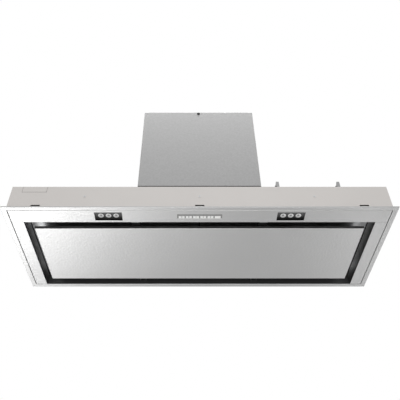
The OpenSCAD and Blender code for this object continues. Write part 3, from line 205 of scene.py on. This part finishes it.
def galvanised_sheet(name, colour, roughness):
    """Zinc-coated sheet: a hardly visible spangle under a matt, fine-grained surface."""
    material = new_material(name, colour, roughness, metallic=0.9)
    grain = noise(material, scale=270.0, detail=3.0)
    spangle = cells(material, scale=95.0)
    tone = mixed(material, grain, spangle, share=0.1)
    mottle(material, spread(material, tone, 0.0, 1.0), colour, 0.053)
    vary_roughness(material, spangle, roughness - 0.01, roughness + 0.01)
    emboss(material, grain, depth=6.0e-5)
    return material


def plain_metal(name, colour, roughness, scale=500.0):
    """Rolled, cast or plated metal with a fine grain."""
    material = new_material(name, colour, roughness, metallic=1.0)
    grain = noise(material, scale, detail=3.0)
    mottle(material, spread(material, grain, 0.0, 1.0), colour, 0.06)
    vary_roughness(material, noise(material, scale / 8.0), roughness - 0.05, roughness + 0.05)
    emboss(material, grain, depth=2.0e-5)
    return material


COVER_LAP = 0.0055         # the cover plate's lower edge reaches this far behind the canopy's wall
# The dark line is painted shade where the cover plate's edges meet the canopy.
END_LINE = 0.00016         # width of the dark line at the cover plate's ends
LOWER_LINE = 0.0006        # and along its lower edge


def outlined_paint(name, colour, roughness, node, dark):
    """The canopy's paint on a plate set into it, with a line of painted shade at its ends and lower edge."""
    material = powder_coat(name, colour, roughness)
    low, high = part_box(node)
    x, _, z = position(material)
    inset = combine(material, "MINIMUM", combine(material, "SUBTRACT", x, low.x),
                    combine(material, "SUBTRACT", high.x, x))
    inset = combine(material, "DIVIDE", inset, END_LINE)
    rise = combine(material, "SUBTRACT", z, low.z + COVER_LAP)
    rise = combine(material, "DIVIDE", rise, LOWER_LINE)
    inside = spread(material, combine(material, "MINIMUM", inset, rise), 0.0, 1.0, start=0.9, end=1.0)
    blend_colour(material, inside, shade(colour, dark), colour)
    return material


def graded(material, front, rear, start_y, end_y):
    """Paints light and shade along Y: the front colour up to start_y and the rear colour from end_y."""
    y = position(material)[1]
    blend_colour(material, spread(material, y, 0.0, 1.0, start=start_y, end=end_y), front, rear)
    return material


SHADE_BLUR = 0.0002        # half the width over which a shaded front turns bright


def shaded_front(material, colour, edge_y, dark):
    """Paints shade on the material: it is darker in front of edge_y."""
    return graded(material, shade(colour, dark), colour, edge_y - SHADE_BLUR, edge_y + SHADE_BLUR)


def dim(material, factor):
    """Multiplies the base colour by factor."""
    base = shader_of(material).inputs["Base Color"]
    product = add_node(material, "ShaderNodeVectorMath", operation="SCALE")
    join(material, base.links[0].from_socket, product.inputs[0])
    join(material, factor, product.inputs["Scale"])
    join(material, product.outputs["Vector"], base)
    return material


STEEL = (0.60, 0.60, 0.598)
STEEL_ROUGHNESS = 0.38
DIM_BLUR = 0.0001          # width over which dimmed steel changes its tone


def dimmed_steel(name, edge_y, front, rear):
    """Brushed steel with painted shade: its tone multiplied by front before edge_y and by rear behind it."""
    material = brushed_steel(name, STEEL, STEEL_ROUGHNESS)
    y = position(material)[1]
    return dim(material, spread(material, y, front, rear, start=edge_y, end=edge_y + DIM_BLUR))


FASCIA_SHEET = 0.0011      # up to this height the side fascias are flat strips


def graded_flanges(name, node, foot, top):
    """Brushed steel whose upright flanges carry painted shade that lightens with height, from the grey foot
    to the grey top.
    """
    material = brushed_steel(name, STEEL, STEEL_ROUGHNESS)
    z = position(material)[2]
    flat = combine(material, "LESS_THAN", z, FASCIA_SHEET)
    upright = combine(material, "SUBTRACT", 1.0, flat)
    rising = spread(material, z, foot, top, start=FASCIA_SHEET, end=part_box(node)[1].z)
    grey = combine(material, "ADD", combine(material, "MULTIPLY", flat, STEEL[0]),
                   combine(material, "MULTIPLY", upright, rising))
    blend_colour(material, grey, (0.0, 0.0, 0.0), (1.0, 1.0, 1.0))
    return material


def moulded_plastic(name, colour, roughness, grain_scale=1400.0, depth=1.5e-5, **sockets):
    """Moulded plastic or rubber: fine eroded grain and slight changes of gloss."""
    material = new_material(name, colour, roughness, **sockets)
    flow = spread(material, noise(material, scale=40.0), 0.0, 1.0)
    mottle(material, flow, colour, 0.05)
    vary_roughness(material, noise(material, scale=120.0), roughness - 0.04, roughness + 0.04)
    emboss(material, noise(material, grain_scale), depth)
    return material


CANOPY = (0.585, 0.56, 0.54)
ZINC = (0.30, 0.30, 0.30)
BEZEL = (0.66, 0.66, 0.65)
KEY_WHITE = (0.80, 0.80, 0.79)
LENS = (0.67, 0.67, 0.67)
BLACK = (0.011, 0.011, 0.011)

LENS_FRONT, LENS_REAR = (corner.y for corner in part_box("lamp_lenses"))
KEYS_FRONT, KEYS_REAR = (corner.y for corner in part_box("key_off"))
KEY_BAND = 0.0022          # depth of the shaded band along the keys' front edge
WEB_INSET = 0.0012         # the bezel is shaded up to this far before the keys' rear edge
TAB_DEPTH = 0.0019         # how far the catch tabs stand out of the front fascia's rear edge
FACE_DEPTH = 0.0002        # what lies this near to a node's front belongs to its front face

MATERIALS = {
    "stainless": brushed_steel("stainless", STEEL, STEEL_ROUGHNESS),
    "canopy_paint": powder_coat("canopy_paint", CANOPY, 0.5),
    "galvanised": galvanised_sheet("galvanised", ZINC, 0.5),
    "black_enamel": powder_coat("black_enamel", (0.031, 0.031, 0.031), 0.32, peel=260.0, depth=8.0e-6),
    "filter_aluminium": plain_metal("filter_aluminium", (0.49, 0.495, 0.50), 0.38, scale=380.0),
    "latch_plastic": moulded_plastic("latch_plastic", (0.04, 0.04, 0.04), 0.45),
    "black_plastic": moulded_plastic("black_plastic", BLACK, 0.34, depth=6.0e-6, Specular_IOR_Level=0.2),
    # Painted light and shade on the lenses: brighter at the front, darker at the rear.
    "lens_plastic": graded(moulded_plastic("lens_plastic", LENS, 0.24, depth=3.0e-6),
                           shade(LENS, 1.45), shade(LENS, 0.45), LENS_FRONT, LENS_REAR),
    "board": moulded_plastic("board", (0.03, 0.13, 0.055), 0.35, grain_scale=700.0),
    # Painted shade on the bezel in front of the keys, where the recess's front wall shades it.
    "bezel_silver": shaded_front(moulded_plastic("bezel_silver", BEZEL, 0.42, depth=1.0e-5),
                                 BEZEL, KEYS_REAR - WEB_INSET, dark=0.4),
    # Painted shade along the keys' front edge, continuing the bezel's shaded band.
    "key_white": shaded_front(moulded_plastic("key_white", KEY_WHITE, 0.36, depth=8.0e-6),
                              KEY_WHITE, KEYS_FRONT + KEY_BAND, dark=0.35),
    "blower_plastic": moulded_plastic("blower_plastic", (0.17, 0.18, 0.19), 0.5),
    "rubber_black": moulded_plastic("rubber_black", (0.009, 0.009, 0.009), 0.62, Specular_IOR_Level=0.25),
    "zinc_steel": plain_metal("zinc_steel", (0.60, 0.605, 0.61), 0.34),
    "motor_steel": plain_metal("motor_steel", (0.36, 0.37, 0.38), 0.45),
    "capacitor_white": moulded_plastic("capacitor_white", (0.68, 0.68, 0.66), 0.4),
    "duct_plastic": moulded_plastic("duct_plastic", (0.024, 0.024, 0.025), 0.48),
    "spring_steel": plain_metal("spring_steel", (0.50, 0.50, 0.51), 0.3),
}

# Nodes whose finish differs a little from their slot's, most of them by painted light and shade
HOUSING_BLACK = moulded_plastic("housing_black", BLACK, 0.34, depth=6.0e-6, Specular_IOR_Level=0.2)
OWN_FINISH = {
    # Painted shade dims the trim frame's front fold face to 0.75 of the steel's tone.
    "trim_frame": dimmed_steel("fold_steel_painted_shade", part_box("trim_frame")[0].y + FACE_DEPTH, front=0.75, rear=1.0),
    # Painted shade darkens the catch tabs behind the front fascia's rear edge to 0.2 of the steel's tone.
    "front_fascia": dimmed_steel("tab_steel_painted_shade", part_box("front_fascia")[1].y - TAB_DEPTH, front=1.0, rear=0.2),
    # The side fascias' upright flanges get painted shade, darkest at the foot.
    "side_fascias": graded_flanges("flange_steel_painted_shade", "side_fascias", foot=0.13, top=0.70),
    "cover_plate": outlined_paint("cover_paint_shade_lined", CANOPY, 0.5, "cover_plate", dark=0.4),
    # Painted light and shade on the lamp housings: lighter at the front, near black at the rear.
    "lamp_housings": graded(HOUSING_BLACK, (0.10, 0.10, 0.10), (0.004, 0.004, 0.004), LENS_FRONT, LENS_REAR),
    "catches": moulded_plastic("catch_black", (0.004, 0.004, 0.004), 0.6, Specular_IOR_Level=0.1),
}

# Finishes of the scene's own pieces
# Painted shade on what stands in front of the hooks' uprights: the gussets.
HOOK_STEEL = shaded_front(galvanised_sheet("hook_steel_painted_shade", ZINC, 0.5), ZINC,
                          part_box("lead_hooks")[0].y - FACE_DEPTH, dark=0.3)
# The mandrel ends' near-black colour is painted shade on the rivets.
MANDREL = moulded_plastic("mandrel", (0.03, 0.03, 0.03), 0.5)
PRINT_GREY = moulded_plastic("print_grey", (0.07, 0.07, 0.07), 0.5)
LENS_CORE = moulded_plastic("lens_core", (0.24, 0.24, 0.245), 0.25, depth=3.0e-6)


def dress_frame():
    """Gives every CAD node its own finish or the material of its slot."""
    for name, node in frame["nodes"].items():
        node.data.materials.clear()
        node.data.materials.append(OWN_FINISH.get(name, MATERIALS[SLOT_OF[name]]))


# Small pieces

def finish_piece(piece, material, body):
    """Adds a piece to the scene with its material and body."""
    piece.data.materials.append(material)
    bpy.context.scene.collection.objects.link(piece)
    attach(piece, body)


def underside_middle(node):
    """Middle of a node's lowest face."""
    low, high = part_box(node)
    return Vector(((low.x + high.x) / 2, (low.y + high.y) / 2, low.z))


KEY_NODE = {"lamp_key": "key_lamp", "off_key": "key_off", "speed_1_key": "key_speed_1",
            "speed_2_key": "key_speed_2", "speed_3_key": "key_speed_3"}
KEY_DIGIT = {"off_key": "0", "speed_1_key": "1", "speed_2_key": "2", "speed_3_key": "3"}
PRINT_LIFT = 0.00003       # printing stands this far off a key
DIGIT_SIZE = 0.00728       # the font's size, for digits about 5 mm high
SIGN_RING = (0.001488, 0.001008)           # outer and inner radius of the lamp sign's ring
SIGN_RAY = (0.00192, 0.00276)              # where its rays begin and end, from its middle
SIGN_RAYS = 8
RAY_WIDTH = 0.000432


def print_under_key(curve, body):
    """Sets flat printing under a key, to be read from below and in front."""
    curve.extrude = PRINT_LIFT
    piece = bpy.data.objects.new("print_" + body, curve)
    piece.location = underside_middle(KEY_NODE[body]) - Vector((0, 0, PRINT_LIFT))
    piece.rotation_euler = (math.pi, 0, 0)
    finish_piece(piece, PRINT_GREY, body)


def key_digit(body, digit):
    """A printed digit."""
    curve = bpy.data.curves.new("print_" + body, "FONT")
    curve.body = digit
    curve.size = DIGIT_SIZE
    curve.align_x, curve.align_y = "CENTER", "CENTER"
    print_under_key(curve, body)


def ring_points(radius, count=28):
    """Points on a circle about the origin."""
    return [(radius * math.cos(2 * math.pi * k / count), radius * math.sin(2 * math.pi * k / count))
            for k in range(count)]


def lamp_sign(body):
    """A printed ring with rays around it."""
    curve = bpy.data.curves.new("print_" + body, "CURVE")
    curve.dimensions, curve.fill_mode = "2D", "BOTH"
    outlines = [ring_points(radius) for radius in SIGN_RING]
    for k in range(SIGN_RAYS):
        angle = 2 * math.pi * k / SIGN_RAYS
        out = Vector((math.cos(angle), math.sin(angle)))
        side = Vector((-math.sin(angle), math.cos(angle))) * RAY_WIDTH / 2
        inner, outer = (out * reach for reach in SIGN_RAY)
        outlines.append([tuple(p) for p in (inner - side, outer - side, outer + side, inner + side)])
    for outline in outlines:
        spline = curve.splines.new("POLY")
        spline.points.add(len(outline) - 1)
        for point, (x, y) in zip(spline.points, outline):
            point.co = (x, y, 0, 1)
        spline.use_cyclic_u = True
    print_under_key(curve, body)


def dome_mesh(name, radius, height, rings=6, sides=32):
    """A shallow dome that bulges down from a closed flat top."""
    mesh = bmesh.new()
    loops = []
    for k in range(rings):
        angle = math.pi / 2 * k / rings
        loops.append([mesh.verts.new((radius * math.cos(angle) * math.cos(2 * math.pi * j / sides),
                                      radius * math.cos(angle) * math.sin(2 * math.pi * j / sides),
                                      -height * math.sin(angle))) for j in range(sides)])
    tip = mesh.verts.new((0, 0, -height))
    for upper, lower in zip(loops, loops[1:]):
        for j in range(sides):
            mesh.faces.new((upper[j], upper[(j + 1) % sides], lower[(j + 1) % sides], lower[j]))
    for j in range(sides):
        mesh.faces.new((loops[-1][j], loops[-1][(j + 1) % sides], tip))
    mesh.faces.new(loops[0])
    bmesh.ops.recalc_face_normals(mesh, faces=mesh.faces)
    data = bpy.data.meshes.new(name)
    mesh.to_mesh(data)
    mesh.free()
    for face in data.polygons:
        face.use_smooth = len(face.vertices) < sides
    return data


LENS_PITCH = 0.0175        # from one lens's middle to the next one's
LENSES_PER_LAMP = 3
CORE_RADIUS = 0.0025
CORE_TOP = 0.00125         # the cores' flat tops lie this far above the lenses' lowest point
CORE_BULGE = 0.001         # and the cores bulge down this far


def lens_cores():
    """The six grey middles of the ring-shaped lenses."""
    low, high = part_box("lamp_lenses")
    middle_y = (low.y + high.y) / 2
    outer_x = high.x - (high.y - low.y) / 2
    for side in (-1, 1):
        for k in range(LENSES_PER_LAMP):
            name = "lens_core_%s_%d" % ("left" if side < 0 else "right", k + 1)
            piece = bpy.data.objects.new(name, dome_mesh(name, CORE_RADIUS, CORE_BULGE))
            piece.location = (side * (outer_x - k * LENS_PITCH), middle_y, low.z + CORE_TOP)
            finish_piece(piece, LENS_CORE, "hood")


HOOK_PLACES = (0.0070, -0.0025)            # middles, from the plain hooks' left and right ends
HOOK_SHEET = 0.002
HOOK_TIP = (-0.0024, 0.00455)              # left and right edge at the tip, from the hook's middle
HOOK_CORNER = 0.0015                       # radius of the tip's corners
HOOK_DROP = 0.0018                         # the tips are this much lower than the plain hooks' tops
HOOK_SHOULDER = (-0.0043, 0.0120)          # where the left edge starts to flare, and its height
HOOK_FOOT = (-0.0050, 0.0048)              # left and right edge at the foot
# Corners of the gusset, from the hook's middle and front, and how high the gusset is at each
GUSSET_FOOT = ((-0.0026, -0.0030), (-0.0062, 0.0003), (-0.0040, 0.0013), (-0.0014, -0.0020))
GUSSET_RISE = (0.0052, 0.0095, 0.0095, 0.0052)
GUSSET_SHIFT = -0.0014                     # the right hook's gusset is further left
GUSSET_DROP = 0.0006                       # and lower


def upright_outline(height, steps=5):
    """Outline in X and Z of the upright: a flared foot and a narrower tip with round corners."""
    points = [(HOOK_FOOT[0], 0.0), (HOOK_FOOT[1], 0.0)]
    centre_z = height - HOOK_CORNER
    for centre_x, start in ((HOOK_TIP[1] - HOOK_CORNER, 0.0), (HOOK_TIP[0] + HOOK_CORNER, math.pi / 2)):
        for k in range(steps + 1):
            a = start + math.pi / 2 * k / steps
            points.append((centre_x + HOOK_CORNER * math.cos(a), centre_z + HOOK_CORNER * math.sin(a)))
    return points + [HOOK_SHOULDER]


def add_prism(mesh, front, back):
    """A closed solid between two outlines with as many points each."""
    loops = [[mesh.verts.new(point) for point in outline] for outline in (front, back)]
    mesh.faces.new(loops[0])
    mesh.faces.new(loops[1])
    for k in range(len(front)):
        following = (k + 1) % len(front)
        mesh.faces.new((loops[0][k], loops[0][following], loops[1][following], loops[1][k]))


def add_plate(mesh, outline, corner, front, back):
    """A plate from front to back whose outline in X and Z is set at the corner."""
    x, z = corner
    add_prism(mesh, [(x + u, front, z + w) for u, w in outline], [(x + u, back, z + w) for u, w in outline])


def lead_hooks():
    """Two hooks of sheet: an upright that narrows upwards, a foot behind it and a gusset in front in painted
    shade.
    """
    low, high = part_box("lead_hooks")
    upright = upright_outline(high.z - low.z - HOOK_DROP)
    inset = HOOK_SHEET / 2
    foot_left, foot_right = HOOK_FOOT[0] + inset, HOOK_FOOT[1] - inset
    foot = [(foot_left, 0), (foot_right, 0), (foot_right, HOOK_SHEET), (foot_left, HOOK_SHEET)]
    mesh = bmesh.new()
    for x, shift, drop in ((low.x + HOOK_PLACES[0], 0, 0),
                           (high.x + HOOK_PLACES[1], GUSSET_SHIFT, GUSSET_DROP)):
        add_plate(mesh, upright, (x, low.z), low.y, low.y + HOOK_SHEET)
        add_plate(mesh, foot, (x, low.z), low.y + inset, high.y)
        add_prism(mesh, [(x + shift + u, low.y + v, low.z) for u, v in GUSSET_FOOT],
                  [(x + shift + u, low.y + v, low.z + rise - drop)
                   for (u, v), rise in zip(GUSSET_FOOT, GUSSET_RISE)])
    bmesh.ops.recalc_face_normals(mesh, faces=mesh.faces)
    data = bpy.data.meshes.new("lead_hooks_bent")
    mesh.to_mesh(data)
    mesh.free()
    piece = bpy.data.objects.new("lead_hooks_bent", data)
    finish_piece(piece, HOOK_STEEL, "hood")
    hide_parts("lead_hooks")


MANDREL_RADIUS = 0.0008
MANDREL_BULGE = 0.0002     # how far the mandrels' ends stand out of the rivets' heads


def rivet_ends():
    """The broken ends of the mandrels in the middles of the three front rivets, painted near black as the
    rivets' shade.
    """
    low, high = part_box("front_rivets")
    head_radius = (high.z - low.z) / 2
    left, right = low.x + head_radius, high.x - head_radius
    for place, x in (("left", left), ("middle", (left + right) / 2), ("right", right)):
        name = "rivet_end_" + place
        piece = bpy.data.objects.new(name, dome_mesh(name, MANDREL_RADIUS, MANDREL_BULGE))
        piece.location = (x, low.y, low.z + head_radius)
        piece.rotation_euler = (-math.pi / 2, 0, 0)
        finish_piece(piece, MANDREL, "hood")


# Light and camera

CAMERA_PLACE = (-0.0176, -0.9433, -0.8077)
CAMERA_PITCH = math.radians(38.5)          # upwards
CAMERA_LENS = 45.05                        # mm
CAMERA_SHIFT = (0.02, 0.172)
FLOOR_Z = -1.6
FLOOR_HALF = 6.0           # half the floor's width
AMBIENT = 0.58             # strength of the white surroundings on matt surfaces
LOW_LAMP_RISE = 0.15       # height of the small lamps above the floor
LOW_LAMP_SIZE = 0.5


def set_camera():
    camera = bpy.data.objects.new("camera", bpy.data.cameras.new("camera"))
    camera.location = CAMERA_PLACE
    camera.rotation_euler = (math.pi / 2 + CAMERA_PITCH, 0, 0)
    camera.data.lens = CAMERA_LENS
    camera.data.shift_x, camera.data.shift_y = CAMERA_SHIFT
    bpy.context.scene.collection.objects.link(camera)
    bpy.context.scene.camera = camera


def soft_lamp(name, place, target, width, depth, watts):
    """A rectangular lamp that the camera doesn't see."""
    data = bpy.data.lights.new(name, "AREA")
    data.shape, data.size, data.size_y = "RECTANGLE", width, depth
    data.energy = watts
    lamp = bpy.data.objects.new(name, data)
    lamp.location = place
    lamp.rotation_euler = (Vector(target) - Vector(place)).to_track_quat("-Z", "Y").to_euler()
    lamp.visible_camera = False
    bpy.context.scene.collection.objects.link(lamp)


def set_world():
    """White behind everything and in reflections, and a modest light on matt surfaces."""
    world = bpy.data.worlds.new("studio")
    bpy.context.scene.world = world
    world.use_nodes = True
    nodes, links = world.node_tree.nodes, world.node_tree.links
    ambient = nodes["Background"]
    ambient.inputs["Strength"].default_value = AMBIENT
    ambient.inputs["Color"].default_value = (1, 1, 1, 1)
    white = nodes.new("ShaderNodeBackground")
    white.inputs["Color"].default_value = (1, 1, 1, 1)
    white.inputs["Strength"].default_value = 1.0
    path = nodes.new("ShaderNodeLightPath")
    seen = path.outputs["Is Camera Ray"]
    for kind in ("Is Glossy Ray", "Is Transmission Ray"):
        larger = nodes.new("ShaderNodeMath")
        larger.operation = "MAXIMUM"
        links.new(seen, larger.inputs[0])
        links.new(path.outputs[kind], larger.inputs[1])
        seen = larger.outputs[0]
    mix = nodes.new("ShaderNodeMixShader")
    links.new(seen, mix.inputs["Fac"])
    links.new(ambient.outputs[0], mix.inputs[1])
    links.new(white.outputs[0], mix.inputs[2])
    links.new(mix.outputs[0], nodes["World Output"].inputs["Surface"])


def set_floor():
    """A large pale floor."""
    data = bpy.data.meshes.new("floor")
    corners = [(x * FLOOR_HALF, y * FLOOR_HALF, FLOOR_Z) for x, y in ((-1, -1), (1, -1), (1, 1), (-1, 1))]
    data.from_pydata(corners, [], [(0, 1, 2, 3)])
    floor = bpy.data.objects.new("floor", data)
    data.materials.append(powder_coat("floor", (0.80, 0.80, 0.80), 0.7, peel=40.0))
    bpy.context.scene.collection.objects.link(floor)


# Small lamps on the floor, mirrored in the underside: X, Y and watts
LOW_LAMPS = ((-1.5, 1.5, 3.99), (-1.0, 1.5, 1.36), (-1.0, 0.85, 4.36), (-0.5, 0.85, 1.77),
             (0.0, 0.85, 0.29), (1.2, 1.5, 1.39))


def set_lamps():
    """A strip above the canopy's front, a wide lamp low in front and the small ones on the floor."""
    soft_lamp("strip", place=(0, -0.4, 1.4), target=(0, -0.138, 0.3), width=1.6, depth=0.3, watts=10.0)
    soft_lamp("low_front", place=(0, -1.36, -1.04), target=(0, 0, 0), width=1.6, depth=0.8, watts=12.2)
    for k, (x, y, watts) in enumerate(LOW_LAMPS):
        soft_lamp("low_%d" % (k + 1), (x, y, FLOOR_Z + LOW_LAMP_RISE), (x, y, 0),
                  LOW_LAMP_SIZE, LOW_LAMP_SIZE, watts)


dress_frame()
lamp_sign("lamp_key")
for key, digit in KEY_DIGIT.items():
    key_digit(key, digit)
lens_cores()
rivet_ends()
lead_hooks()
set_camera()
set_world()
set_floor()
set_lamps()
bpy.context.scene.view_settings.view_transform = "Standard"
